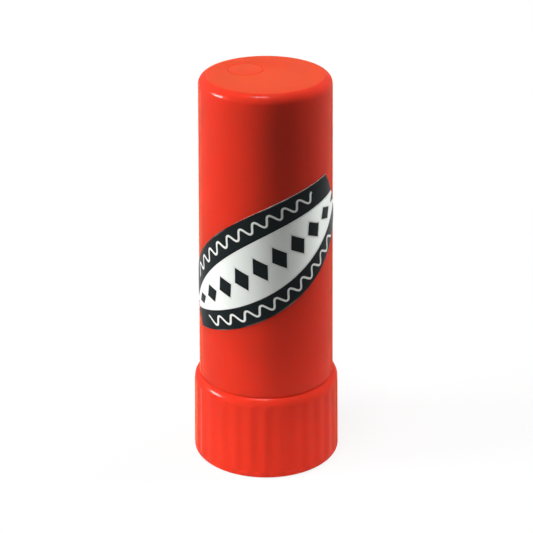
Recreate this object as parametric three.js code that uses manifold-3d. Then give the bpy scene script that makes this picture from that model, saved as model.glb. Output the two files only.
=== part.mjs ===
// A twist-up stick of hot melt glue. Its ribbed base turns a lead screw, which lifts a stick of glue
// out of an inner barrel, and a long tapered cap with a wrap-around sticker pulls off upwards.
// Millimetres, +Z up. The foot stands on z = 0 round the axis, and the sticker faces -Y.

import * as THREE from 'three';
import { mergeVertices } from 'three/addons/utils/BufferGeometryUtils.js';
import Module from 'manifold-3d';

const wasm = await Module();
wasm.setup();

// Stick of glue
const glueRadius = 5.6;
const glueSetback = 0.4; // from the barrel's rim down to the glue
const glueOverScrew = 1.4; // solid glue above the tip of the screw
const glueEdge = 0.5;
const boreClearance = 0.25; // between the glue and the screw or hub inside it

// Lead screw, single start and right-handed
const screwRadius = 2.2;
const threadDepth = 0.6;
const threadCrest = 0.9;
const threadFoot = 1.9;
const lead = 4;
const threadClearance = 0.18;
const neckRadius = 2.5;
const flangeWidth = 0.9;
const flangeThickness = 0.9;
const keyWidth = 3.6;
const keyClearance = 0.1;

// Carrier that rides the screw
const cupWall = 0.6;
const cupHeight = 6.35;
const cupClearance = 0.1; // between the cup and the glue
const carrierFloor = 1.2;
const hubWall = 1;
const hubHeight = 4.6;

// Barrel that the glue rises in
const barrelStandout = 21.65; // above the base
const barrelWall = 0.95;
const barrelTaper = 0.15;
const rimRound = 0.25;
const bulkhead = 1.2;
const skirtStep = 0.15;
const ribCount = 4;
const ribWidth = 1;
const ribDepth = 0.45;
const ribClearance = 0.2;
const beadHeight = 0.21;
const beadWidth = 0.8;

// Cap
const capWall = 1;
const capTopWall = 1.05;
const capDraft = 0.49; // how much narrower the top is than the mouth, in radius
const capEdge = 1.24;
const capInnerEdge = 0.5;
const capClearance = 0.2; // between the bead on the barrel and the cap
const capHeadroom = 0.6; // over the glue when it is wound right up
const capGap = 0.05; // between the rim of the cap and the base
const capChamfer = 0.15;
const snapOverlap = 0.08; // how far the cap's snap ring reaches in behind the bead
const snapHeight = 1; // from the rim of the cap to the snap ring

// Twist base
const baseHeight = 12.25;
const baseLedge = 0.725; // how far the base stands out round the cap
const baseDraft = 0.18;
const baseShoulder = 1.3;
const footEdge = 0.38;
const footRecess = 0.5;
const footRing = 1.6;
const pipCount = 3; // low pips under the foot ring, which the stick stands on without rocking
const pipHeight = 0.08;
const pipRadius = 0.4;
const pipTurn = THREE.MathUtils.degToRad(15);
const baseFloor = 1.4;
const bossWall = 1.3;
const bossHeight = 3.1;
const gateRadius = 1.5;
const gateDepth = 0.2;
const gripRibCount = 30;
const gripRibHeight = 0.04;
const gripRibFoot = 0.95;
const gripRibEnd = 0.2; // height over which a rib slopes off at each end
const gripRibTurn = THREE.MathUtils.degToRad(-1);
const turnClearance = 0.2; // radial, between the base and the barrel's skirt
const endPlay = 0.15; // along the axis, where one piece turns on another

// Sticker, an eye-shaped strip with its ends cut square
const labelLength = 30;
const labelWidth = 13.6;
const labelEndWidth = 7.6;
const labelTilt = THREE.MathUtils.degToRad(32.4);
const labelTurn = THREE.MathUtils.degToRad(-6);
const labelRise = 19.3; // from the rim of the cap to the middle of the sticker
const labelThickness = 0.12;
const labelGap = 0.02;

// Facets round each form
const capFacets = 64;
const barrelFacets = 60;
const glueFacets = 48;
const screwFacets = 24;
const facetsPerGripRib = 6;
const pipFacets = 12;

// Radii, from the glue outwards
const cupBore = glueRadius + cupClearance;
const cupRadius = cupBore + cupWall;
const barrelBore = cupRadius + ribClearance + ribDepth;
const barrelRadius = barrelBore + barrelWall;
const beadRadius = barrelRadius + beadHeight;
const skirtRadius = barrelRadius + skirtStep;
const baseBore = skirtRadius + turnClearance;
const capMouthRadius = beadRadius + capClearance + capWall;
const capTopRadius = capMouthRadius - capDraft;
const baseTopRadius = capMouthRadius + baseLedge;
const baseFootRadius = baseTopRadius + baseDraft;
const screwCore = screwRadius - threadDepth;
const hubRadius = screwRadius + threadClearance + hubWall;
const neckHole = neckRadius + turnClearance;
const socketWidth = keyWidth + 2 * keyClearance;
const bossRadius = socketWidth / Math.SQRT2 + bossWall;

// Heights, from the foot upwards
const floorTop = footRecess + baseFloor;
const bossTop = floorTop + bossHeight;
const bulkheadBottom = bossTop + endPlay;
const bulkheadTop = bulkheadBottom + bulkhead;
const flangeBottom = bulkheadTop + endPlay;
const flangeTop = flangeBottom + flangeThickness;
const carrierBottom = flangeTop + endPlay;
const glueBottom = carrierBottom + carrierFloor;
const cupTop = carrierBottom + cupHeight;
const hubTop = carrierBottom + hubHeight;
const barrelBottom = floorTop + 2 * endPlay;
const barrelRim = baseHeight + barrelStandout;
const glueTop = barrelRim - glueSetback;
const screwTip = glueTop - glueOverScrew;
const glueRise = barrelRim - cupTop; // the cup comes up level with the barrel's rim
const capRim = baseHeight + capGap;
const capCeiling = glueTop + glueRise + capHeadroom;
const capTop = capCeiling + capTopWall;
const snapRing = capRim + snapHeight;
const bead = snapRing + beadWidth + endPlay;

const point = (radius, height) => new THREE.Vector2(radius, height);

// Points of a round edge, in the plane of a profile
function arc(radius, height, round, from, to, steps) {
  return Array.from({ length: steps + 1 }, (_, i) => {
    const angle = THREE.MathUtils.degToRad(from + ((to - from) * i) / steps);
    return point(radius + round * Math.cos(angle), height + round * Math.sin(angle));
  });
}

// Turns a profile round the Z axis. Its first facet edge faces -Y.
function revolve(profile, facets) {
  const geometry = new THREE.LatheGeometry(profile, facets);
  geometry.rotateX(Math.PI / 2);
  return geometry;
}

function box(width, depth, bottom, top) {
  const geometry = new THREE.BoxGeometry(width, depth, top - bottom);
  geometry.translate(0, 0, (bottom + top) / 2);
  return geometry;
}

// A closed geometry as a solid that can be joined and cut
function solid(geometry) {
  const bare = geometry.clone();
  bare.deleteAttribute('normal');
  bare.deleteAttribute('uv');
  const merged = mergeVertices(bare);
  const corners = merged.index.array;
  const triangles = [];
  for (let i = 0; i < corners.length; i += 3) {
    const [a, b, c] = corners.slice(i, i + 3);
    if (a !== b && b !== c && c !== a) triangles.push(a, b, c);
  }
  const mesh = new wasm.Mesh({
    numProp: 3,
    vertProperties: merged.attributes.position.array,
    triVerts: new Uint32Array(triangles),
  });
  return new wasm.Manifold(mesh);
}

function geometryOf(shape) {
  const mesh = shape.getMesh();
  const geometry = new THREE.BufferGeometry();
  geometry.setAttribute('position', new THREE.BufferAttribute(mesh.vertProperties, 3));
  geometry.setIndex(new THREE.BufferAttribute(mesh.triVerts, 1));
  geometry.computeVertexNormals();
  return geometry;
}

// A closed band through rings of points, each ring with the same number of them, with both ends filled
function loft(rings) {
  const count = rings[0].length;
  const positions = rings.flat().flatMap((corner) => corner.toArray());
  const index = [];
  for (let i = 0; i + 1 < rings.length; i++) {
    for (let j = 0; j < count; j++) {
      const a = i * count + j;
      const b = i * count + ((j + 1) % count);
      index.push(a, b + count, b, a, a + count, b + count);
    }
  }
  const last = (rings.length - 1) * count;
  for (let j = 1; j + 1 < count; j++) {
    index.push(0, j, j + 1);
    index.push(last, last + j + 1, last + j);
  }
  const geometry = new THREE.BufferGeometry();
  geometry.setAttribute('position', new THREE.Float32BufferAttribute(positions, 3));
  geometry.setIndex(index);
  geometry.computeVertexNormals();
  return geometry;
}

// Where a point of the given angle from -Y, radius and height lies
function around(angle, radius, height) {
  return new THREE.Vector3(radius * Math.sin(angle), -radius * Math.cos(angle), height);
}

// The thread's ridge between two heights, grown by a clearance to cut the nut's groove
function threadRidge(from, to, clearance) {
  const steps = Math.round(((to - from) / lead) * screwFacets);
  const inner = (screwCore + clearance) * 0.8;
  const outer = screwRadius + clearance;
  const foot = threadFoot / 2 + clearance;
  const crest = threadCrest / 2 + clearance;
  const rings = Array.from({ length: steps + 1 }, (_, i) => {
    const angle = (2 * Math.PI * i) / screwFacets;
    const height = from + (lead * i) / screwFacets;
    return [
      around(angle, inner, height - foot),
      around(angle, outer, height - crest),
      around(angle, outer, height + crest),
      around(angle, inner, height + foot),
    ];
  });
  return solid(loft(rings));
}

function spindle() {
  const tip = threadDepth;
  const turned = solid(
    revolve(
      [
        point(0, bossTop),
        point(neckRadius, bossTop),
        point(neckRadius, flangeBottom),
        point(neckHole + flangeWidth, flangeBottom),
        point(neckHole + flangeWidth, flangeTop),
        point(screwCore, flangeTop),
        point(screwCore, screwTip - tip),
        point(screwCore - tip, screwTip),
        point(0, screwTip),
      ],
      screwFacets
    )
  );
  const key = solid(box(keyWidth, keyWidth, barrelBottom, bossTop + endPlay));
  const ridge = threadRidge(flangeTop + threadFoot / 2, screwTip - threadFoot, 0);
  return geometryOf(turned.add(key).add(ridge));
}

function carrier() {
  const flangeRadius = barrelBore - ribClearance;
  const turned = solid(
    revolve(
      [
        point(0, carrierBottom),
        point(flangeRadius, carrierBottom),
        point(flangeRadius, glueBottom),
        point(cupRadius, glueBottom),
        point(cupRadius, cupTop),
        point(cupBore, cupTop),
        point(cupBore, glueBottom),
        point(hubRadius, glueBottom),
        point(hubRadius, hubTop),
        point(0, hubTop),
      ],
      barrelFacets
    )
  );
  const bore = solid(
    revolve(
      [
        point(0, carrierBottom - 1),
        point(screwCore + threadClearance, carrierBottom - 1),
        point(screwCore + threadClearance, hubTop + 1),
        point(0, hubTop + 1),
      ],
      screwFacets
    )
  );
  const groove = threadRidge(flangeTop + threadFoot / 2 - lead, hubTop + lead, threadClearance);
  let piece = turned.subtract(bore).subtract(groove);
  for (let i = 0; i < ribCount; i++) {
    const notch = box(ribWidth + 2 * ribClearance, 2 * ribDepth, carrierBottom - 1, glueBottom + 1);
    notch.translate(0, -(cupRadius + ribDepth), 0);
    notch.rotateZ((2 * Math.PI * (i + 0.5)) / ribCount);
    piece = piece.subtract(solid(notch));
  }
  return geometryOf(piece);
}

function glueSlug() {
  const screwBore = screwRadius + boreClearance;
  const hubBore = hubRadius + boreClearance;
  const boreEnd = screwTip + boreClearance;
  const hubEnd = hubTop + boreClearance;
  return revolve(
    [
      point(0, boreEnd),
      point(screwBore, boreEnd),
      point(screwBore, hubEnd),
      point(hubBore, hubEnd),
      point(hubBore, glueBottom),
      point(glueRadius, glueBottom),
      ...arc(glueRadius - glueEdge, glueTop - glueEdge, glueEdge, 0, 90, 3),
      point(0, glueTop),
    ],
    glueFacets
  );
}

// A low ridge round a wall, from one side to the other
function ridgeProfile(wall, peak, height) {
  return [
    point(wall, height - beadWidth / 2),
    point(peak, height - beadWidth / 8),
    point(peak, height + beadWidth / 8),
    point(wall, height + beadWidth / 2),
  ];
}

function barrel() {
  const skirtTop = baseHeight - turnClearance;
  const rimRadius = barrelRadius - barrelTaper;
  const turned = solid(
    revolve(
      [
        point(barrelBore, barrelBottom),
        point(skirtRadius, barrelBottom),
        point(skirtRadius, skirtTop - skirtStep),
        point(barrelRadius, skirtTop),
        ...ridgeProfile(barrelRadius, beadRadius, bead),
        ...arc(rimRadius - rimRound, barrelRim - rimRound, rimRound, 0, 90, 2),
        ...arc(barrelBore + rimRound, barrelRim - rimRound, rimRound, 90, 180, 2),
        point(barrelBore, bulkheadTop),
        point(neckHole, bulkheadTop),
        point(neckHole, bulkheadBottom),
        point(barrelBore, bulkheadBottom),
        point(barrelBore, barrelBottom),
      ],
      barrelFacets
    )
  );
  let piece = turned;
  for (let i = 0; i < ribCount; i++) {
    const rib = box(ribWidth, ribDepth + barrelWall / 2, bulkheadTop - bulkhead / 2, barrelRim - ribWidth);
    rib.translate(0, -(barrelBore - ribDepth / 2 + barrelWall / 4), 0);
    rib.rotateZ((2 * Math.PI * (i + 0.5)) / ribCount);
    piece = piece.add(solid(rib));
  }
  return geometryOf(piece);
}

// Radius of the cap's straight tapered wall at a height
function capRadiusAt(height) {
  const share = (height - capRim) / (capTop - capEdge - capRim);
  return THREE.MathUtils.lerp(capMouthRadius, capTopRadius, share);
}

function cap() {
  const bore = (height) => capRadiusAt(height) - capWall;
  const ceilingRadius = bore(capCeiling - capInnerEdge) - capInnerEdge;
  return revolve(
    [
      point(0, capCeiling),
      ...arc(ceilingRadius, capCeiling - capInnerEdge, capInnerEdge, 90, 0, 3),
      ...ridgeProfile(bore(snapRing), beadRadius - snapOverlap, snapRing).reverse(),
      point(bore(capRim) + capChamfer, capRim),
      point(capMouthRadius - capChamfer, capRim),
      point(capMouthRadius, capRim + capChamfer),
      ...arc(capTopRadius - capEdge, capTop - capEdge, capEdge, 0, 90, 5),
      point(0, capTop),
    ],
    capFacets
  );
}

// The sticker's outline laid flat, as a closed loop of points
function labelOutline() {
  const bulge = (labelWidth - labelEndWidth) / 2;
  const round = ((labelLength / 2) ** 2 + bulge ** 2) / (2 * bulge);
  const half = Math.asin(labelLength / 2 / round);
  const centre = labelWidth / 2 - round;
  const outline = new THREE.Shape();
  outline.absarc(0, centre, round, Math.PI / 2 - half, Math.PI / 2 + half, false);
  outline.absarc(0, -centre, round, -Math.PI / 2 - half, -Math.PI / 2 + half, false);
  outline.closePath();
  const turned = outline.getPoints(24);
  return turned.map((corner) => corner.rotateAround(new THREE.Vector2(), labelTilt));
}

// The lowest and highest point of a closed outline that rounds outwards, on the upright line at x
function spanAt(outline, x) {
  const heights = [];
  outline.forEach((start, i) => {
    const end = outline[(i + 1) % outline.length];
    if (start.x <= x !== end.x <= x) {
      heights.push(THREE.MathUtils.mapLinear(x, start.x, end.x, start.y, end.y));
    }
  });
  return [Math.min(...heights), Math.max(...heights)];
}

// The sticker is bent flat facet by flat facet, so that it lies on the cap all over
function label() {
  const middle = capRim + labelRise;
  const wrapRadius = capRadiusAt(middle);
  const facet = (2 * Math.PI) / capFacets;
  const outline = labelOutline();
  const ends = outline.map((corner) => corner.x).sort((a, b) => a - b);
  const corners = [ends[0] + labelGap, ends[ends.length - 1] - labelGap];
  const from = labelTurn + corners[0] / wrapRadius;
  const to = labelTurn + corners[1] / wrapRadius;
  const angles = [from];
  for (let i = Math.ceil((2 * from) / facet); (i * facet) / 2 < to; i++) {
    if ((i * facet) / 2 > from) angles.push((i * facet) / 2);
  }
  angles.push(to);
  const rings = angles.map((angle) => {
    const [low, high] = spanAt(outline, (angle - labelTurn) * wrapRadius).map((y) => middle + y);
    const offCentre = angle - (Math.floor(angle / facet) + 0.5) * facet;
    const flatten = Math.cos(facet / 2) / Math.cos(offCentre);
    const inner = (height) => capRadiusAt(height) * flatten + labelGap;
    return [
      around(angle, inner(low), low),
      around(angle, inner(low) + labelThickness, low),
      around(angle, inner(high) + labelThickness, high),
      around(angle, inner(high), high),
    ];
  });
  return loft(rings);
}

// How far the grip's ribs stand out at a height, as a share
function gripRibShare(height) {
  const top = baseHeight - baseShoulder;
  return THREE.MathUtils.clamp(Math.min(height - gripRibFoot, top - height) / gripRibEnd, 0, 1);
}

// Raises the grip's ribs on the outer wall, narrow at the crest and wide at the foot
function raiseRibs(geometry) {
  const position = geometry.attributes.position;
  for (let i = 0; i < position.count; i++) {
    const x = position.getX(i);
    const y = position.getY(i);
    const crest = (1 + Math.cos(gripRibCount * Math.atan2(x, -y))) / 2;
    const rise = gripRibHeight * crest ** 2 * gripRibShare(position.getZ(i));
    const scale = 1 + rise / Math.hypot(x, y, 1e-9);
    position.setX(i, x * scale);
    position.setY(i, y * scale);
  }
  return geometry.rotateZ(gripRibTurn);
}

// One of the pips under the foot ring, slightly tapered
function pip(angle) {
  const ringMiddle = baseFootRadius - (footRing + gripRibHeight + footEdge) / 2;
  const geometry = revolve(
    [
      point(0, 0),
      point(pipRadius - pipHeight, 0),
      point(pipRadius, pipHeight),
      point(pipRadius, 2 * pipHeight),
      point(0, 2 * pipHeight),
    ],
    pipFacets
  );
  const place = around(angle, ringMiddle, 0);
  return solid(geometry.translate(place.x, place.y, place.z));
}

function twistBase() {
  const shoulder = baseHeight - baseShoulder;
  const wallAt = (height) => baseFootRadius - gripRibHeight - (baseDraft * height) / shoulder;
  const ribRows = [gripRibFoot, gripRibFoot + gripRibEnd, shoulder - gripRibEnd];
  const outside = solid(
    raiseRibs(
      revolve(
        [
          point(0, pipHeight),
          ...arc(baseFootRadius - gripRibHeight - footEdge, pipHeight + footEdge, footEdge, -90, 0, 2),
          ...ribRows.map((height) => point(wallAt(height), height)),
          ...arc(baseTopRadius - gripRibHeight - baseShoulder, shoulder, baseShoulder, 0, 90, 4),
          point(0, baseHeight),
        ],
        gripRibCount * facetsPerGripRib
      )
    )
  );
  const well = solid(
    revolve(
      [
        point(0, bossTop),
        point(bossRadius, bossTop),
        point(bossRadius, floorTop),
        point(baseBore, floorTop),
        point(baseBore, baseHeight - turnClearance),
        point(baseBore + turnClearance, baseHeight),
        point(baseBore + turnClearance, baseHeight + 1),
        point(0, baseHeight + 1),
      ],
      barrelFacets
    )
  );
  const recess = solid(
    revolve(
      [
        point(0, -1),
        point(baseFootRadius - footRing, -1),
        point(baseFootRadius - footRing, footRecess),
        point(gateRadius, footRecess),
        point(gateRadius, footRecess + gateDepth),
        point(0, footRecess + gateDepth),
      ],
      barrelFacets
    )
  );
  const socket = solid(box(socketWidth, socketWidth, floorTop, bossTop + 1));
  let piece = outside.subtract(well).subtract(recess).subtract(socket);
  for (let i = 0; i < pipCount; i++) {
    piece = piece.add(pip(pipTurn + (2 * Math.PI * i) / pipCount));
  }
  return geometryOf(piece);
}

function mesh(name, geometry, color, roughness) {
  const material = new THREE.MeshStandardMaterial({ color, roughness, metalness: 0 });
  const piece = new THREE.Mesh(geometry, material);
  piece.name = name;
  return piece;
}

const base = new THREE.Group();
base.add(mesh('twist_base', twistBase(), 0xe5301f, 0.25));
base.add(mesh('spindle', spindle(), 0xf1efe8, 0.4));

const lift = new THREE.Group();
lift.add(mesh('carrier', carrier(), 0xf1efe8, 0.4));
lift.add(mesh('glue_slug', glueSlug(), 0xefe3c2, 0.5));

const capWithLabel = new THREE.Group();
capWithLabel.add(mesh('cap', cap(), 0xe8321f, 0.2));
capWithLabel.add(mesh('label', label(), 0x23292b, 0.35));

const part = new THREE.Group();
part.add(base);
part.add(mesh('barrel', barrel(), 0xe5301f, 0.3));
part.add(lift);
part.add(capWithLabel);

export default part;
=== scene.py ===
# A capped twist-up stick of hot melt glue, in glossy red plastic with a slanted black and silver
# sticker. Sizes are in millimetres, and MM turns them into the frame's metres. Angles round the
# stick run from -Y, where the sticker faces the camera, towards +X.
import math

import bmesh
import bpy
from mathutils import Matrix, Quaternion, Vector


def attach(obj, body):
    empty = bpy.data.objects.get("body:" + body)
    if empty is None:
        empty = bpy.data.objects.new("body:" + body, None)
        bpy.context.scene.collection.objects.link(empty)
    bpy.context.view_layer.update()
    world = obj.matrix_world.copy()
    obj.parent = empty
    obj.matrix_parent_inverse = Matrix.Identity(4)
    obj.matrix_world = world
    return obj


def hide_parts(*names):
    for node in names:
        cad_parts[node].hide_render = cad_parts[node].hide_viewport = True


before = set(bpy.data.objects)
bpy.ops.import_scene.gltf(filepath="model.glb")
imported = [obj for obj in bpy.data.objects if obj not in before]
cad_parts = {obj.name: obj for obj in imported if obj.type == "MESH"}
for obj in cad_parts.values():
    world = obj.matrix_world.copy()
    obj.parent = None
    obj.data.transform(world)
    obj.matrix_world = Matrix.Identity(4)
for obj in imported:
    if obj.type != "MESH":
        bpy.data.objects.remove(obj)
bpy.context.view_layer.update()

MM = 0.001


# Sizes that the part's drawing gives

CAP_RIM = 12.3
CAP_TOP = 55.15
CAP_CEILING = 54.1
CAP_MOUTH_RADIUS = 9.31
CAP_TOP_RADIUS = 8.82
CAP_WALL = 1.0
CAP_EDGE = 1.24
CAP_INNER_EDGE = 0.5
CAP_RIM_ROUND = 0.04
SNAP_RING = 13.3
SNAP_RADIUS = 8.03

BASE_TOP = 12.25
BASE_TOP_RADIUS = 10.035
BASE_FOOT_RADIUS = 10.215
BASE_SHOULDER = 1.3
BASE_BORE = 8.25
BASE_FLOOR = 1.9
FOOT_EDGE = 0.38
FOOT_RING = 1.6
FOOT_RECESS = 0.5
PIP_COUNT = 3
PIP_HEIGHT = 0.08
PIP_RADIUS = 0.4
PIP_TURN = math.radians(15)
GATE_RADIUS = 1.5
GATE_SLOPE = 0.4
GATE_DEPTH = 0.2
RECESS_ROUND = 0.1
BOSS_RADIUS = 3.99
BOSS_TOP = 5.0
SOCKET_WIDTH = 3.8

BARREL_BOTTOM = 2.2
BARREL_RIM = 33.9
BARREL_BORE = 6.95
BARREL_RADIUS = 7.9
BARREL_RIM_RADIUS = 7.75
BARREL_RIM_ROUND = 0.25
SKIRT_RADIUS = 8.05
SKIRT_TOP = 12.05
SKIRT_SLOPE = 0.3  # height over which the skirt slopes off at its top
BULKHEAD_BOTTOM = 5.15
BULKHEAD_TOP = 6.35
NECK_HOLE = 2.7
BEAD = 14.25
BEAD_RADIUS = 8.11
BEAD_WIDTH = 0.8
KEEPER_COUNT = 4
KEEPER_WIDTH = 1.0
KEEPER_DEPTH = 0.45
KEEPER_PITCH = 2 * math.pi / KEEPER_COUNT
KEEPER_HALF = math.asin(0.5 * KEEPER_WIDTH / BARREL_BORE)  # half the angle that a keeper takes up
KEEPER_SIDE = math.radians(0.2)  # over which a keeper's side rises from the bore
# The keepers start below the barrel's rim: distances below it, with shares of their depth
KEEPER_LEAD_IN = ((1.0, 0), (1.4, 0.6), (1.7, 1))

GLUE_BOTTOM = 8.75
GLUE_TOP = 33.5
GLUE_RADIUS = 5.6
GLUE_EDGE = 0.5
SCREW_BORE = 2.45
SCREW_BORE_TOP = 32.35
HUB_BORE = 3.63
HUB_BORE_TOP = 12.4

STICKER_TILT = math.radians(32.4)
STICKER_TURN = math.radians(-6)
STICKER_RISE = 19.3
STICKER_THICKNESS = 0.07
STICKER_GAP = 0.01  # of glue between the sticker and the cap

# The sticker's outline in its own flat millimetres, from its middle: where its two ends are cut,
# and the centre and radius of each arc that is its upper or its lower edge

STICKER_LEFT = -14.4
STICKER_RIGHT = 15.0
UPPER_EDGE = (1.25, -28.02, 34.7)
LOWER_EDGE = (0.43, 32.12, 39.22)

# Fine forms that only show close up

RIB_COUNT = 30
RIB_HEIGHT = 0.04
RIB_VALLEY = 0.04
RIB_TURN = math.radians(-1)
RIB_BOTTOM = 0.95
RIB_TOP = 11.1
RIB_END = 0.2
RIB_ROWS = (2.5, 4, 5.5, 7, 8.5)  # heights of the rows of points between the ribs' two ends
CAP_LIP = 0.08  # by which the cap's outer edge reaches down over the base's round shoulder
CAP_LIP_WIDTH = 0.3
CAP_FLAT_MARGIN = 0.05  # from the flat part of the cap's top to its rounded edge
MARK_CENTRE = (-2.65, 1.95)
MARK_RADIUS = 2.35
MARK_WIDTH = 0.2
MARK_DEPTH = 0.05
MARK_SUNK = 0.4  # how low the top lies inside the moulding circle, as a share of its depth
GLUE_SINK = 0.16
GLUE_SINK_ROWS = (0.9, 0.8, 0.65, 0.5, 0.3, 0.15)  # shares of the way out to the glue's edge
EDGE_ROUND = 0.12
WORN_ROUND = 0.25  # an outer edge rounded by this much or less is worn the most
INSIDE = 0.003  # by which the ribs keep inside the part's own coarser ones

# How finely the meshes are drawn

CAP_POINTS = 192
CAP_ROW_STEP = 4
POINTS_PER_RIB = 16
FOOT_ROW_STEP = 0.04
BARREL_POINTS = 216
GLUE_POINTS = 120
STICKER_COLUMNS = 150
STICKER_ROWS = 44
SHARP_EDGE = math.radians(40)
FLAT_SPAN = 100.0  # millimetres of the flat sticker that its map coordinates span


# Meshes

def arc(radius, height, rounding, start, end, steps):
    """Points (radius, height) along a rounded edge, from one angle in degrees to another."""
    points = []
    for i in range(steps + 1):
        angle = math.radians(start + (end - start) * i / steps)
        points.append((radius + rounding * math.cos(angle), height + rounding * math.sin(angle)))
    return points


def ridge(wall, peak, height):
    """Profile of a low rounded ridge round a wall, from below to above."""
    steps = 8
    points = []
    for i in range(steps + 1):
        share = i / steps
        out = 0.5 - 0.5 * math.cos(2 * math.pi * share)
        points.append((wall + (peak - wall) * out, height + BEAD_WIDTH * (share - 0.5)))
    return points


def ring(angles, radius, height, centre=(0.0, 0.0)):
    """One closed row of points. The radius is a length, or a function of the angle."""
    points = []
    for angle in angles:
        r = radius(angle) if callable(radius) else radius
        across = centre[0] + r * math.sin(angle)
        back = centre[1] - r * math.cos(angle)
        points.append(Vector((across, back, height)) * MM)
    return points


def even(count):
    """Angles that go once round in even steps."""
    return [2 * math.pi * i / count for i in range(count)]


def skin(name, rows, first=None, last=None, closed=False):
    """A mesh piece over rows of points. first and last are points that close its two ends, and
    closed joins the last row to the first."""
    bm = bmesh.new()
    made = [[bm.verts.new(p) for p in row] for row in rows]
    count = len(rows[0])
    pairs = list(zip(made, made[1:]))
    if closed:
        pairs.append((made[-1], made[0]))
    for low, high in pairs:
        for i in range(count):
            j = (i + 1) % count
            bm.faces.new((low[i], low[j], high[j], high[i]))
    for point, row in ((first, made[0]), (last, made[-1])):
        if point is not None:
            tip = bm.verts.new(Vector(point) * MM)
            for i in range(count):
                bm.faces.new((tip, row[i], row[(i + 1) % count]))
    return piece(name, bm)


def piece(name, bm):
    """Closes a bmesh into an object with smooth faces, and notes how strongly it curves outwards
    at each point, which is where handling wears it."""
    bmesh.ops.recalc_face_normals(bm, faces=bm.faces)
    bm.verts.ensure_lookup_table()
    wear = [edge_wear(v) for v in bm.verts]
    mesh = bpy.data.meshes.new(name)
    bm.to_mesh(mesh)
    bm.free()
    worn = mesh.attributes.new("edge_wear", "FLOAT", "POINT")
    worn.data.foreach_set("value", wear)
    mesh.shade_smooth()
    mesh.set_sharp_from_angle(angle=SHARP_EDGE)
    made = bpy.data.objects.new(name, mesh)
    bpy.context.scene.collection.objects.link(made)
    return made


def edge_wear(vertex):
    """0 where the surface is flat or hollow, and up to 1 on a sharp outer edge."""
    most = 0.0
    for edge in vertex.link_edges:
        if len(edge.link_faces) != 2 or edge.calc_length() == 0:
            continue
        width = sum(face.calc_area() for face in edge.link_faces) / (2 * edge.calc_length())
        bend = edge.calc_face_angle_signed(0.0)
        most = max(most, bend * WORN_ROUND * MM / max(width, 1e-9))
    return min(most, 1.0)


def cap_radius_at(height):
    """Outer radius of the cap's tapered wall."""
    share = (height - CAP_RIM) / (CAP_TOP - CAP_EDGE - CAP_RIM)
    return CAP_MOUTH_RADIUS + (CAP_TOP_RADIUS - CAP_MOUTH_RADIUS) * share


def cap_bore_at(height):
    """Inner radius of the cap's wall."""
    return cap_radius_at(height) - CAP_WALL


def make_cap():
    angles = even(CAP_POINTS)
    flat = CAP_TOP_RADIUS - CAP_EDGE
    # The moulding circle is a groove, given in shares of its width and of its depth
    groove = ((-1.0, MARK_SUNK), (-0.5, 0.5), (-0.3, 1.0), (0.3, 1.0), (0.5, 0.1), (0.7, 0.0))
    rows = []
    for across, down in groove:
        radius = MARK_RADIUS + across * MARK_WIDTH
        rows.append(ring(angles, radius, CAP_TOP - down * MARK_DEPTH, MARK_CENTRE))

    ceiling_edge = cap_bore_at(CAP_CEILING - CAP_INNER_EDGE) - CAP_INNER_EDGE
    heights = [CAP_TOP - CAP_EDGE - CAP_ROW_STEP * i for i in range(1, 11)]
    rim = CAP_RIM_ROUND
    profile = [(flat - CAP_FLAT_MARGIN, CAP_TOP)]
    profile += arc(flat, CAP_TOP - CAP_EDGE, CAP_EDGE, 90, 0, 14)
    profile += [(cap_radius_at(z), z) for z in heights]
    profile += arc(CAP_MOUTH_RADIUS - rim, CAP_RIM - CAP_LIP + rim, rim, 0, -90, 4)
    profile.append((CAP_MOUTH_RADIUS - CAP_LIP_WIDTH, CAP_RIM))
    profile += arc(cap_bore_at(CAP_RIM) + rim, CAP_RIM + rim, rim, -90, -180, 4)
    profile += ridge(cap_bore_at(SNAP_RING), SNAP_RADIUS, SNAP_RING)
    profile += arc(ceiling_edge, CAP_CEILING - CAP_INNER_EDGE, CAP_INNER_EDGE, 0, 90, 5)
    rows += [ring(angles, r, z) for r, z in profile]
    mark = (MARK_CENTRE[0], MARK_CENTRE[1], CAP_TOP - MARK_SUNK * MARK_DEPTH)
    return skin("cap_shell", rows, first=mark, last=(0, 0, CAP_CEILING))


def rib_strength(height):
    """How far the ribs stand out at a height, as a share. Their two ends are rounded off."""
    inside = min(height - RIB_BOTTOM, RIB_TOP - height) / RIB_END
    inside = min(max(inside, 0.0), 1.0)
    return math.sqrt(1 - (1 - inside) ** 2)


def ribbed(radius, height):
    """The radius as a function of the angle, with the grip's ribs and valleys. radius is the one
    over the ribs' crests."""
    strength = rib_strength(height)

    def at(angle):
        crest = 0.5 + 0.5 * math.cos(RIB_COUNT * (angle - RIB_TURN))
        rise = RIB_HEIGHT * crest ** 2 - RIB_VALLEY * (1 - crest) ** 2
        return radius - RIB_HEIGHT + strength * rise

    return at


def square(half):
    """The radius of a square hole as a function of the angle."""
    return lambda angle: half / max(abs(math.sin(angle)), abs(math.cos(angle)))


def stand_on_pips(row):
    """Lowers the points of a row on the foot ring that lie on one of the pips it stands on."""
    middle = BASE_FOOT_RADIUS - (FOOT_RING + RIB_HEIGHT + FOOT_EDGE) / 2
    for i in range(PIP_COUNT):
        angle = PIP_TURN + 2 * math.pi * i / PIP_COUNT
        pip = Vector((middle * math.sin(angle), -middle * math.cos(angle))) * MM
        for p in row:
            beyond = ((p.xy - pip).length / MM - PIP_RADIUS + PIP_HEIGHT) / PIP_HEIGHT
            p.z -= PIP_HEIGHT * MM * (1 - min(max(beyond, 0.0), 1.0))
    return row


def grip_radius_at(height):
    """Radius over the crests of the grip's ribs, below its shoulder."""
    taper = (BASE_FOOT_RADIUS - BASE_TOP_RADIUS) * height / (BASE_TOP - BASE_SHOULDER)
    return BASE_FOOT_RADIUS - taper - INSIDE


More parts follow.
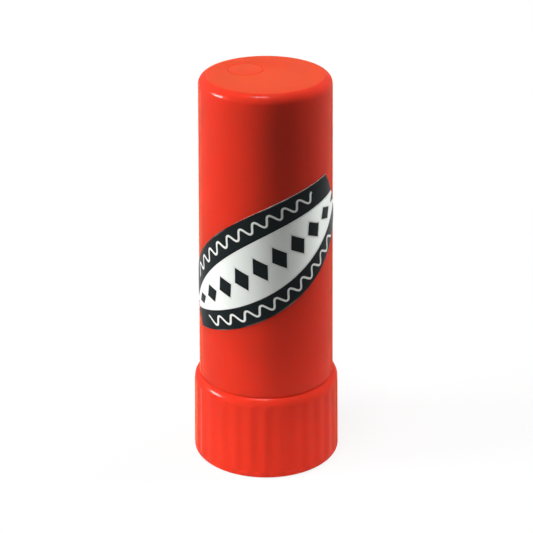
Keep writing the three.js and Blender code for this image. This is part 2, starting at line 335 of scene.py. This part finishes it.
def make_base():
    angles = even(RIB_COUNT * POINTS_PER_RIB)
    shoulder = BASE_TOP - BASE_SHOULDER
    ends = [i / 8 * RIB_END for i in range(9)]
    heights = [RIB_BOTTOM + end for end in ends]
    heights += RIB_ROWS
    heights += [RIB_TOP - end for end in reversed(ends)]
    recess_radius = BASE_FOOT_RADIUS - FOOT_RING
    recess_top = FOOT_RECESS + GATE_DEPTH
    soft = EDGE_ROUND

    rows = [ring(angles, r, z) for r, z in (
        (GATE_RADIUS - GATE_SLOPE, recess_top),
        (GATE_RADIUS, FOOT_RECESS),
        (recess_radius - 3 * RECESS_ROUND, FOOT_RECESS),
    )]
    under = arc(recess_radius - RECESS_ROUND, FOOT_RECESS - RECESS_ROUND, RECESS_ROUND, 90, 0, 3)
    under += arc(recess_radius + soft, PIP_HEIGHT + soft, soft, 180, 270, 4)
    rows += [ring(angles, r, z) for r, z in under]
    foot_radius = BASE_FOOT_RADIUS - RIB_HEIGHT - INSIDE - FOOT_EDGE
    flat = [recess_radius + soft + FOOT_ROW_STEP * i for i in range(1, 26)]
    flat = [r for r in flat if r < foot_radius - FOOT_ROW_STEP / 2]
    rows += [stand_on_pips(ring(angles, r, PIP_HEIGHT)) for r in flat]
    foot = arc(foot_radius, PIP_HEIGHT + FOOT_EDGE, FOOT_EDGE, -90, 0, 7)
    rows += [ring(angles, r, z) for r, z in foot]
    rows += [ring(angles, ribbed(grip_radius_at(z), z), z) for z in heights if z < shoulder]
    middle = BASE_TOP_RADIUS - RIB_HEIGHT - INSIDE - BASE_SHOULDER
    over = arc(middle, shoulder, BASE_SHOULDER, 0, 90, 14)
    rows += [ring(angles, ribbed(r + RIB_HEIGHT, z), z) for r, z in over]
    well = [(BASE_BORE + soft, BASE_TOP)]
    well += arc(BASE_BORE + soft, BASE_TOP - soft, soft, 90, 180, 4)
    well += [(BASE_BORE, BASE_FLOOR), (BOSS_RADIUS, BASE_FLOOR)]
    well += arc(BOSS_RADIUS - soft, BOSS_TOP - soft, soft, 0, 90, 3)
    rows += [ring(angles, r, z) for r, z in well]
    rows += [ring(angles, square(SOCKET_WIDTH / 2), z) for z in (BOSS_TOP, BASE_FLOOR)]
    return skin("grip_base", rows, first=(0, 0, recess_top), last=(0, 0, BASE_FLOOR))


def keeper_bore(depth):
    """The radius of the barrel's bore as a function of the angle. Its upright keeper ribs stand in
    from it by a depth."""

    def at(angle):
        off = abs((angle % KEEPER_PITCH) - KEEPER_PITCH / 2)
        return BARREL_BORE - depth if off <= KEEPER_HALF + 1e-6 else BARREL_BORE

    return at


def make_barrel():
    sides = [s * (KEEPER_HALF + step) for s in (-1, 1) for step in (0, KEEPER_SIDE)]
    corners = [(i + 0.5) * KEEPER_PITCH + side for i in range(KEEPER_COUNT) for side in sides]
    angles = sorted(set(even(BARREL_POINTS) + corners))
    soft = BARREL_RIM_ROUND
    profile = [
        (BARREL_BORE, BARREL_BOTTOM),
        (SKIRT_RADIUS, BARREL_BOTTOM),
        (SKIRT_RADIUS, SKIRT_TOP - SKIRT_SLOPE),
        (SKIRT_RADIUS - 0.1 * SKIRT_SLOPE, SKIRT_TOP - 0.4 * SKIRT_SLOPE),
        (BARREL_RADIUS, SKIRT_TOP),
        (BARREL_RADIUS, SKIRT_TOP + SKIRT_SLOPE),
    ]
    profile += ridge(BARREL_RADIUS, BEAD_RADIUS, BEAD)
    profile += arc(BARREL_RIM_RADIUS - soft, BARREL_RIM - soft, soft, 0, 90, 5)
    profile += arc(BARREL_BORE + soft, BARREL_RIM - soft, soft, 90, 180, 5)
    rows = [ring(angles, r, z) for r, z in profile]
    for below_rim, share in KEEPER_LEAD_IN:
        rows.append(ring(angles, keeper_bore(share * KEEPER_DEPTH), BARREL_RIM - below_rim))
    rows.append(ring(angles, keeper_bore(KEEPER_DEPTH), BULKHEAD_TOP))
    rows += [ring(angles, r, z) for r, z in (
        (NECK_HOLE, BULKHEAD_TOP),
        (NECK_HOLE, BULKHEAD_BOTTOM),
        (BARREL_BORE, BULKHEAD_BOTTOM),
    )]
    return skin("inner_barrel", rows, closed=True)


def make_glue():
    angles = even(GLUE_POINTS)
    rows = [ring(angles, r, z) for r, z in (
        (SCREW_BORE, SCREW_BORE_TOP),
        (SCREW_BORE, HUB_BORE_TOP),
        (HUB_BORE, HUB_BORE_TOP),
        (HUB_BORE, GLUE_BOTTOM),
        (GLUE_RADIUS, GLUE_BOTTOM),
    )]
    # The poured glue sinks a little towards its middle as it sets
    top = arc(GLUE_RADIUS - GLUE_EDGE, GLUE_TOP - GLUE_EDGE, GLUE_EDGE, 0, 90, 8)
    flat = GLUE_RADIUS - GLUE_EDGE
    for share in GLUE_SINK_ROWS:
        top.append((share * flat, GLUE_TOP - GLUE_SINK * (1 - share ** 2) ** 2))
    rows += [ring(angles, r, z) for r, z in top]
    sunk = (0, 0, GLUE_TOP - GLUE_SINK)
    return skin("glue_stick", rows, first=(0, 0, SCREW_BORE_TOP), last=sunk)


def sticker_edge(which, side, along):
    """Where an edge of the sticker lies at a distance along it. The side is 1 above, -1 below."""
    x, y, radius = which
    return y + side * math.sqrt(radius ** 2 - (along - x) ** 2)


def on_cap(along, across, lift):
    """Where a place on the flat sticker lies once it is wrapped round the cap."""
    middle = CAP_RIM + STICKER_RISE
    side = along * math.cos(STICKER_TILT) - across * math.sin(STICKER_TILT)
    height = middle + along * math.sin(STICKER_TILT) + across * math.cos(STICKER_TILT)
    angle = STICKER_TURN + side / cap_radius_at(middle)
    radius = cap_radius_at(height) + lift
    return Vector((radius * math.sin(angle), -radius * math.cos(angle), height)) * MM


def make_sticker():
    """The sticker. Its map coordinates are its flat millimetres over FLAT_SPAN, plus a half."""
    columns, rows = STICKER_COLUMNS, STICKER_ROWS
    bm = bmesh.new()
    layer = bm.loops.layers.uv.new("flat")
    flat = {}
    sheets = []
    for lift in (STICKER_GAP, STICKER_THICKNESS):
        sheet = []
        for i in range(columns + 1):
            along = STICKER_LEFT + (STICKER_RIGHT - STICKER_LEFT) * i / columns
            low = sticker_edge(LOWER_EDGE, -1, along)
            high = sticker_edge(UPPER_EDGE, 1, along)
            column = []
            for j in range(rows + 1):
                across = low + (high - low) * j / rows
                v = bm.verts.new(on_cap(along, across, lift))
                flat[v] = (along, across)
                column.append(v)
            sheet.append(column)
        sheets.append(sheet)
    under, over = sheets
    for i in range(columns):
        for j in range(rows):
            for sheet in sheets:
                corners = (sheet[i][j], sheet[i + 1][j], sheet[i + 1][j + 1], sheet[i][j + 1])
                bm.faces.new(corners)
    edges = [((i, j), (i + 1, j)) for i in range(columns) for j in (0, rows)]
    edges += [((i, j), (i, j + 1)) for i in (0, columns) for j in range(rows)]
    for (i, j), (k, m) in edges:
        cut = bm.faces.new((under[i][j], under[k][m], over[k][m], over[i][j]))
        cut.material_index = 1
    for face in bm.faces:
        for loop in face.loops:
            along, across = flat[loop.vert]
            loop[layer].uv = (along / FLAT_SPAN + 0.5, across / FLAT_SPAN + 0.5)
    return piece("wrap_sticker", bm)


# Materials

class Paint:
    """Short calls that build a material's nodes."""

    def __init__(self, name):
        self.material = bpy.data.materials.new(name)
        self.material.use_nodes = True
        self.nodes = self.material.node_tree.nodes
        self.links = self.material.node_tree.links
        self.shader = self.nodes["Principled BSDF"]

    def add(self, kind, settings=None, **inputs):
        node = self.nodes.new(kind)
        for key, value in (settings or {}).items():
            setattr(node, key, value)
        for key, value in inputs.items():
            self.put(node.inputs[key.replace("_", " ")], value)
        return node

    def put(self, socket, value):
        if isinstance(value, bpy.types.NodeSocket):
            self.links.new(value, socket)
        else:
            socket.default_value = value

    def set(self, **inputs):
        for key, value in inputs.items():
            self.put(self.shader.inputs[key.replace("_", " ")], value)

    def place(self):
        return self.add("ShaderNodeTexCoord").outputs["Object"]

    def noise(self, place, size, detail=2.0, roughness=0.5):
        """Cloudy values from 0 to 1, with features of about a size in millimetres."""
        node = self.add("ShaderNodeTexNoise", Vector=place, Scale=1 / (size * MM),
                        Detail=detail, Roughness=roughness)
        return node.outputs["Fac"]

    def math(self, operation, a, b=0.0, c=0.0):
        node = self.add("ShaderNodeMath", {"operation": operation})
        for socket, value in zip(node.inputs, (a, b, c)):
            self.put(socket, value)
        return node.outputs[0]

    def ramp(self, value, low, high, start=0.0, end=1.0):
        """start below low, end above high, and smooth in between."""
        node = self.add("ShaderNodeMapRange", {"interpolation_type": "SMOOTHSTEP"}, Value=value,
                        From_Min=low, From_Max=high, To_Min=start, To_Max=end)
        return node.outputs["Result"]

    def mix(self, share, a, b):
        """A colour between two colours."""
        node = self.add("ShaderNodeMix", {"data_type": "RGBA"})
        self.put(node.inputs["Factor"], share)
        # The sockets for colours come after those for numbers and vectors
        self.put(node.inputs[6], a)
        self.put(node.inputs[7], b)
        return node.outputs[2]

    def bump(self, height, strength, distance):
        """A normal that follows a height, which is multiplied by a distance in millimetres."""
        node = self.add("ShaderNodeBump", Strength=strength, Distance=distance * MM,
                        Height=height)
        return node.outputs["Normal"]

    def wear(self):
        return self.add("ShaderNodeAttribute", {"attribute_name": "edge_wear"}).outputs["Fac"]


def scaled(colour, by):
    return tuple(c * by for c in colour) + (1.0,)


def moulded(name, colour, rough, gloss, soft, matt_and_highlight_above=None):
    """Moulded plastic with faint clouding, a fine skin and edges that handling has dulled. Light
    spreads in it over a distance of about soft. Above the height of the last argument the mould
    left a dull grain, and the red there is warmer, a painted highlight from above. Both are in
    millimetres."""
    paint = Paint(name)
    place = paint.place()
    cloud = paint.noise(place, 7.0, 2.0)
    fine = paint.noise(place, 0.35, 3.0, 0.6)
    scuff = paint.ramp(paint.noise(place, 1.1, 4.0, 0.7), 0.42, 0.7)
    worn = paint.math("MULTIPLY", scuff, paint.ramp(paint.wear(), 0.15, 0.9))
    tint = paint.mix(cloud, scaled(colour, 0.95), scaled(colour, 1.05))
    dulled = tuple(c * 0.9 + 0.05 for c in colour) + (1.0,)
    tint = paint.mix(paint.math("MULTIPLY", worn, 0.5), tint, dulled)
    # The gloss is weak, and weaker still where the surface is seen at a flat angle
    facing = paint.add("ShaderNodeLayerWeight", Blend=0.5).outputs["Facing"]
    level = paint.ramp(facing, 0.3, 0.7, gloss, 0.2 * gloss)
    roughness = paint.math("MULTIPLY_ADD", cloud, 0.05, rough - 0.025)
    roughness = paint.math("MULTIPLY_ADD", worn, 0.2, roughness)
    # A lamp behind the stick leaves a soft sheen on its edges, and no burnt-out spot
    roughness = paint.math("ADD", roughness, paint.ramp(facing, 0.68, 0.82, 0.0, 0.5))
    height = paint.math("MULTIPLY", fine, 0.15)
    if matt_and_highlight_above is not None:
        up = paint.add("ShaderNodeSeparateXYZ", Vector=place).outputs["Z"]
        matt_and_highlight = paint.ramp(up, (matt_and_highlight_above - 0.06) * MM, (matt_and_highlight_above - 0.01) * MM)
        grain = paint.noise(place, 0.16, 2.0, 0.6)
        roughness = paint.math("MULTIPLY_ADD", matt_and_highlight, 0.22, roughness)
        height = paint.math("ADD", height, paint.math("MULTIPLY", matt_and_highlight, grain))
        # The top's warmer, more orange red is a painted highlight from above, and the speckle in
        # it is its grain
        speckle = paint.ramp(grain, 0.5, 0.75, 0.0, 0.12)
        mottled_painted_highlight = paint.mix(speckle, TOP_RED_WITH_PAINTED_HIGHLIGHT + (1.0,), scaled(TOP_RED_WITH_PAINTED_HIGHLIGHT, 0.7))
        tint = paint.mix(matt_and_highlight, tint, mottled_painted_highlight)
    paint.shader.subsurface_method = "BURLEY"
    paint.set(Base_Color=tint, Roughness=roughness, Specular_IOR_Level=level,
              Sheen_Weight=SHEEN, Sheen_Roughness=SHEEN_ROUGHNESS, Sheen_Tint=SHEEN_TINT,
              Subsurface_Weight=0.8, Subsurface_Scale=soft * MM, Subsurface_Radius=SPREAD,
              Normal=paint.bump(height, 0.25, 0.012))
    return paint.material


def waxy_glue():
    paint = Paint("waxy_glue")
    place = paint.place()
    cloud = paint.noise(place, 3.5, 3.0)
    fine = paint.noise(place, 0.5, 4.0, 0.65)
    tint = paint.mix(cloud, (0.74, 0.63, 0.42, 1), (0.87, 0.79, 0.6, 1))
    tint = paint.mix(paint.ramp(fine, 0.6, 0.8, 0.0, 0.25), tint, (0.93, 0.89, 0.78, 1))
    roughness = paint.math("MULTIPLY_ADD", fine, 0.2, 0.3)
    height = paint.math("MULTIPLY_ADD", fine, 0.4, cloud)
    paint.set(Base_Color=tint, Roughness=roughness, Specular_IOR_Level=0.45,
              Subsurface_Weight=0.25, Subsurface_Scale=0.002, Subsurface_Radius=(1.0, 0.75, 0.4),
              Normal=paint.bump(height, 0.3, 0.05))
    return paint.material


# The print on the sticker. Its silver eye lies between two arcs, each given by a centre and a
# radius in the sticker's own millimetres.
UPPER_ARC = (1.0, -31.55, 34.91)
LOWER_ARC = (1.2, 42.21, 46.4)
KEYLINE = 0.16  # width of the white line inside the eye's edge
LOZENGE_PITCH = 3.0
LOZENGE_HALF = 0.4  # half a lozenge's width, as a share of the pitch
LOZENGE_SLENDER = 1.9
LOZENGE_HALO = 1.1  # how far the white round a lozenge reaches, against the lozenge
WAVE_PITCH = 2.2
WAVE_SWING = 0.6
WAVE_LINE = 0.3
WAVE_REACH = 11.5
UPPER_WAVE = 1.7  # distance from the eye to the wave over it
LOWER_WAVE = 1.45


def inside_arc(paint, along, across, which):
    """How far inside an arc's circle a place on the sticker lies."""
    x, y, radius = which
    dx = paint.math("SUBTRACT", along, x)
    dy = paint.math("SUBTRACT", across, y)
    squares = paint.math("MULTIPLY_ADD", dx, dx, paint.math("MULTIPLY", dy, dy))
    return paint.math("SUBTRACT", radius, paint.math("SQRT", squares))


def wave(paint, along, inside, distance):
    """A white line that follows an arc outside it, and waves about a distance from it."""
    turn = paint.math("MULTIPLY", along, 2 * math.pi / WAVE_PITCH)
    line = paint.math("MULTIPLY_ADD", paint.math("SINE", turn), WAVE_SWING, distance)
    off = paint.math("ABSOLUTE", paint.math("ADD", inside, line))
    # The line is steep between its crests, and its width is taken square to it
    steep = paint.math("COSINE", turn)
    steep = paint.math("MULTIPLY", steep, steep)
    slope = 2 * math.pi * WAVE_SWING / WAVE_PITCH
    stretch = paint.math("SQRT", paint.math("MULTIPLY_ADD", steep, slope ** 2, 1.0))
    off = paint.math("DIVIDE", off, stretch)
    line = paint.ramp(off, WAVE_LINE / 2 - 0.03, WAVE_LINE / 2 + 0.03, 1.0, 0.0)
    ends = paint.ramp(paint.math("ABSOLUTE", along), WAVE_REACH, WAVE_REACH + 0.1, 1.0, 0.0)
    return paint.math("MULTIPLY", line, ends)


def sticker_print():
    paint = Paint("sticker_print")
    flat = paint.add("ShaderNodeUVMap", {"uv_map": "flat"}).outputs["UV"]
    split = paint.add("ShaderNodeSeparateXYZ", Vector=flat)
    along = paint.math("MULTIPLY_ADD", split.outputs["X"], FLAT_SPAN, -FLAT_SPAN / 2)
    across = paint.math("MULTIPLY_ADD", split.outputs["Y"], FLAT_SPAN, -FLAT_SPAN / 2)
    under_top = inside_arc(paint, along, across, UPPER_ARC)
    over_foot = inside_arc(paint, along, across, LOWER_ARC)
    inside = paint.math("MINIMUM", under_top, over_foot)
    eye = paint.ramp(inside, -0.02, 0.02)
    keyline = paint.math("MULTIPLY", eye, paint.ramp(inside, KEYLINE, KEYLINE + 0.04, 1.0, 0.0))

    # A row of lozenges down the middle of the eye, which shrink with it towards its ends
    gap = paint.math("ADD", under_top, over_foot)
    from_middle = paint.math("ABSOLUTE", paint.math("SUBTRACT", under_top, over_foot))
    rise = paint.math("DIVIDE", from_middle, paint.math("MAXIMUM", gap, 0.1))
    step = paint.math("PINGPONG", along, LOZENGE_PITCH / 2)
    step = paint.math("DIVIDE", step, LOZENGE_HALF * LOZENGE_PITCH)
    spread = paint.math("MULTIPLY_ADD", rise, LOZENGE_SLENDER, step)
    lozenge = paint.math("MULTIPLY", eye, paint.ramp(spread, 0.93, 1.0, 1.0, 0.0))
    halo = paint.ramp(spread, LOZENGE_HALO, LOZENGE_HALO + 0.06, 1.0, 0.0)
    halo = paint.math("MULTIPLY", eye, halo)

    upper_wave = wave(paint, along, under_top, UPPER_WAVE)
    lower_wave = wave(paint, along, over_foot, LOWER_WAVE)
    white = paint.math("MAXIMUM", keyline, paint.math("MAXIMUM", upper_wave, lower_wave))
    white = paint.math("MAXIMUM", white, halo)
    foil = paint.math("SUBTRACT", eye, paint.math("MULTIPLY", eye, white))

    place = paint.place()
    cloud = paint.noise(place, 4.0, 2.0)
    fine = paint.noise(place, 0.12, 2.0, 0.6)
    black = paint.mix(cloud, (0.008, 0.012, 0.013, 1), (0.013, 0.019, 0.02, 1))
    metal = paint.mix(fine, (0.86, 0.9, 0.86, 1), (0.91, 0.95, 0.91, 1))
    tint = paint.mix(foil, black, metal)
    tint = paint.mix(white, tint, (0.88, 0.89, 0.86, 1))
    tint = paint.mix(lozenge, tint, black)
    worn = paint.math("MULTIPLY", paint.ramp(cloud, 0.4, 0.8), paint.ramp(paint.wear(), 0.2, 0.9))
    tint = paint.mix(paint.math("MULTIPLY", worn, 0.4), tint, (0.6, 0.6, 0.58, 1))
    roughness = paint.math("MULTIPLY_ADD", cloud, 0.08, 0.26)
    roughness = paint.math("MULTIPLY_ADD", foil, 0.06, roughness)
    # The foil lies under a clear film, and mirrors more where it is seen at a flat angle
    facing = paint.add("ShaderNodeLayerWeight", Blend=0.5).outputs["Facing"]
    mirror = paint.ramp(facing, 0.08, 0.5, 0.04, 0.6)
    paint.set(Base_Color=tint, Metallic=paint.math("MULTIPLY", foil, mirror), Roughness=roughness,
              Specular_IOR_Level=0.06, Normal=paint.bump(fine, 0.1, 0.01))
    return paint.material


def cut_paper():
    paint = Paint("cut_paper")
    fibre = paint.noise(paint.place(), 0.2, 3.0)
    tint = paint.mix(fibre, (0.6, 0.6, 0.57, 1), (0.82, 0.82, 0.79, 1))
    paint.set(Base_Color=tint, Roughness=paint.math("MULTIPLY_ADD", fibre, 0.2, 0.6),
              Normal=paint.bump(fibre, 0.3, 0.01))
    return paint.material


RED = (0.78, 0.034, 0.014)
# The top face's red is shifted warmer and more orange, as a painted highlight from above
TOP_RED_WITH_PAINTED_HIGHLIGHT = (0.77, 0.045, 0.009)
BARREL_RED = tuple(0.95 * part for part in RED)
INNER_WHITE = (0.78, 0.77, 0.73)
# How far red, green and blue light spread in the plastic, as shares
SPREAD = (1.0, 0.2, 0.15)
# The plastic looks paler and warmer where it is seen at a flat angle
SHEEN = 0.38
SHEEN_ROUGHNESS = 0.25
SHEEN_TINT = (1.0, 0.9, 0.45, 1.0)

cap_plastic = moulded("cap_plastic_red", RED, rough=0.17, gloss=0.08, soft=2.2, matt_and_highlight_above=CAP_TOP)
base_plastic = moulded("base_plastic_red", RED, rough=0.19, gloss=0.08, soft=0.3)
barrel_plastic = moulded("barrel_plastic_red", BARREL_RED, rough=0.32, gloss=0.3, soft=0.5)
inner_plastic = moulded("inner_plastic_white", INNER_WHITE, rough=0.38, gloss=0.4, soft=0.5)


# Pieces

def dress(made, body, node, slot, *materials):
    """A piece that stands for a CAD node, with its finish."""
    for material in materials:
        made.data.materials.append(material)
    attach(made, body)
    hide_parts(node)


dress(make_cap(), "cap", "cap", "cap_plastic", cap_plastic)
dress(make_sticker(), "cap", "label", "label_film", sticker_print(), cut_paper())
dress(make_base(), "base", "twist_base", "base_plastic", base_plastic)
dress(make_barrel(), "barrel", "barrel", "barrel_plastic", barrel_plastic)
dress(make_glue(), "carrier", "glue_slug", "glue", waxy_glue())

for name in ("carrier", "spindle"):
    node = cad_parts[name]
    node.data.materials.clear()
    node.data.materials.append(inner_plastic)


# Floor, world, lamps and camera

def seen_share(nodes, links):
    """1 for a ray from the camera, off a glossy surface or through a clear one. 0 for light."""
    path = nodes.new("ShaderNodeLightPath")
    share = path.outputs["Is Camera Ray"]
    for name in ("Is Glossy Ray", "Is Transmission Ray"):
        either = nodes.new("ShaderNodeMath")
        either.operation = "MAXIMUM"
        links.new(share, either.inputs[0])
        links.new(path.outputs[name], either.inputs[1])
        share = either.outputs[0]
    return share


FLOOR_RADIUS = 110.0
FLOOR_GAP = 0.01  # below the stick
FLOOR_LIGHT = 0.42  # how pale the floor near the stick is for the light that falls on it
FLOOR_LIGHT_FADES = (30, 50)  # distances from the middle between which that fades out
FLOOR_SHADOW = 0.15  # how much of the stick's shadow the white floor keeps
FLOOR_SHADOW_FADES = (60, 105)


def make_floor():
    bm = bmesh.new()
    bmesh.ops.create_circle(bm, cap_ends=True, radius=FLOOR_RADIUS * MM, segments=128)
    bmesh.ops.translate(bm, verts=bm.verts, vec=(0, 0, -FLOOR_GAP * MM))
    mesh = bpy.data.meshes.new("floor")
    bm.to_mesh(mesh)
    bm.free()
    floor = bpy.data.objects.new("floor", mesh)
    bpy.context.scene.collection.objects.link(floor)

    paint = Paint("floor_paper")
    place = paint.place()
    away = paint.add("ShaderNodeVectorMath", {"operation": "LENGTH"})
    paint.put(away.inputs[0], place)
    away = away.outputs["Value"]
    fibre = paint.noise(place, 2.0, 3.0)
    pale = paint.mix(fibre, (0.93, 0.93, 0.93, 1), (0.97, 0.97, 0.97, 1))
    # The paper lights the foot of the stick a little, and the table past it is dark
    camera_ray = paint.add("ShaderNodeLightPath").outputs["Is Camera Ray"]
    start, end = FLOOR_LIGHT_FADES
    near = paint.ramp(away, start * MM, end * MM, FLOOR_LIGHT, 0.0)
    near = paint.math("MAXIMUM", camera_ray, near)
    paint.set(Base_Color=paint.mix(near, (0.06, 0.06, 0.06, 1), pale),
              Roughness=0.9, Specular_IOR_Level=0.0)
    white = paint.add("ShaderNodeEmission", Strength=1.0)
    clear = paint.add("ShaderNodeBsdfTransparent")
    start, end = FLOOR_SHADOW_FADES
    flat_white = paint.ramp(away, start * MM, end * MM, 1 - FLOOR_SHADOW, 1.0)
    seen = paint.math("MULTIPLY", seen_share(paint.nodes, paint.links), flat_white)
    top = paint.add("ShaderNodeMixShader", Fac=seen)
    paint.links.new(paint.shader.outputs["BSDF"], top.inputs[1])
    paint.links.new(white.outputs["Emission"], top.inputs[2])
    # From below the floor is clear, so that the foot can be seen
    below = paint.add("ShaderNodeNewGeometry").outputs["Backfacing"]
    both = paint.add("ShaderNodeMixShader", Fac=below)
    paint.links.new(top.outputs["Shader"], both.inputs[1])
    paint.links.new(clear.outputs["BSDF"], both.inputs[2])
    paint.links.new(both.outputs["Shader"], paint.nodes["Material Output"].inputs["Surface"])
    mesh.materials.append(paint.material)


def make_world(level):
    """White where it is seen, and an even light of a level otherwise."""
    world = bpy.data.worlds.new("studio")
    bpy.context.scene.world = world
    world.use_nodes = True
    nodes, links = world.node_tree.nodes, world.node_tree.links
    light = nodes["Background"]
    light.inputs["Color"].default_value = (level, level, level, 1)
    white = nodes.new("ShaderNodeBackground")
    white.inputs["Color"].default_value = (1, 1, 1, 1)
    mixed = nodes.new("ShaderNodeMixShader")
    links.new(seen_share(nodes, links), mixed.inputs["Fac"])
    links.new(light.outputs["Background"], mixed.inputs[1])
    links.new(white.outputs["Background"], mixed.inputs[2])
    links.new(mixed.outputs["Shader"], nodes["World Output"].inputs["Surface"])


TARGET = Vector((0.08, 0, 27.58)) * MM
FOOT = Vector((0, 0, 1)) * MM
WORLD_LEVEL = 0.0  # the lamps give all the light
CAMERA_ELEVATION = 24.45
CAMERA_DISTANCE = 250
CAMERA_LENS = 123.5
CAMERA_ROLL = math.radians(-0.16)


def outwards(azimuth, elevation):
    """The direction from the stick towards an azimuth from -Y and an elevation, in degrees."""
    a, e = math.radians(azimuth), math.radians(elevation)
    return Vector((math.sin(a) * math.cos(e), -math.cos(a) * math.cos(e), math.sin(e)))


def lamp(name, azimuth, elevation, distance, width, height, level, aim=TARGET,
         lights=True, mirrored=True):
    """A softbox that lights a white surface facing it to a level, where 1 is white. One that isn't
    mirrored leaves no highlight on the plastic, and one that doesn't light leaves only that."""
    light = bpy.data.lights.new(name, "AREA")
    light.shape = "RECTANGLE"
    light.size = width * MM
    light.size_y = height * MM
    light.energy = level * (math.pi * distance * MM) ** 2
    made = bpy.data.objects.new(name, light)
    bpy.context.scene.collection.objects.link(made)
    away = outwards(azimuth, elevation)
    made.location = aim + away * distance * MM
    made.rotation_mode = "QUATERNION"
    made.rotation_quaternion = (-away).to_track_quat("-Z", "Y")
    made.visible_camera = False
    made.visible_diffuse = lights
    made.visible_glossy = mirrored


make_floor()
make_world(WORLD_LEVEL)
lamp("glint", azimuth=-87, elevation=15, distance=400, width=130, height=100, level=2.5,
     lights=False)
lamp("key", azimuth=-80, elevation=15, distance=400, width=160, height=160, level=1.1,
     mirrored=False)
lamp("overhead", azimuth=-30, elevation=80, distance=450, width=120, height=120, level=0.68)
lamp("fill", azimuth=113, elevation=12, distance=420, width=400, height=400, level=1.1,
     mirrored=False)
lamp("card", azimuth=10, elevation=4, distance=34, width=50, height=6, level=0.3, aim=FOOT,
     mirrored=False)

camera = bpy.data.objects.new("camera", bpy.data.cameras.new("camera"))
bpy.context.scene.collection.objects.link(camera)
camera.data.sensor_width = 36
camera.data.lens = CAMERA_LENS
camera.data.clip_start = 0.01
camera.data.clip_end = 10
view_from = outwards(0, CAMERA_ELEVATION)
camera.location = TARGET + view_from * CAMERA_DISTANCE * MM
camera.rotation_mode = "QUATERNION"
roll = Quaternion((0, 0, 1), CAMERA_ROLL)
camera.rotation_quaternion = (-view_from).to_track_quat("-Z", "Y") @ roll
bpy.context.scene.camera = camera
bpy.context.scene.view_settings.view_transform = "Standard"
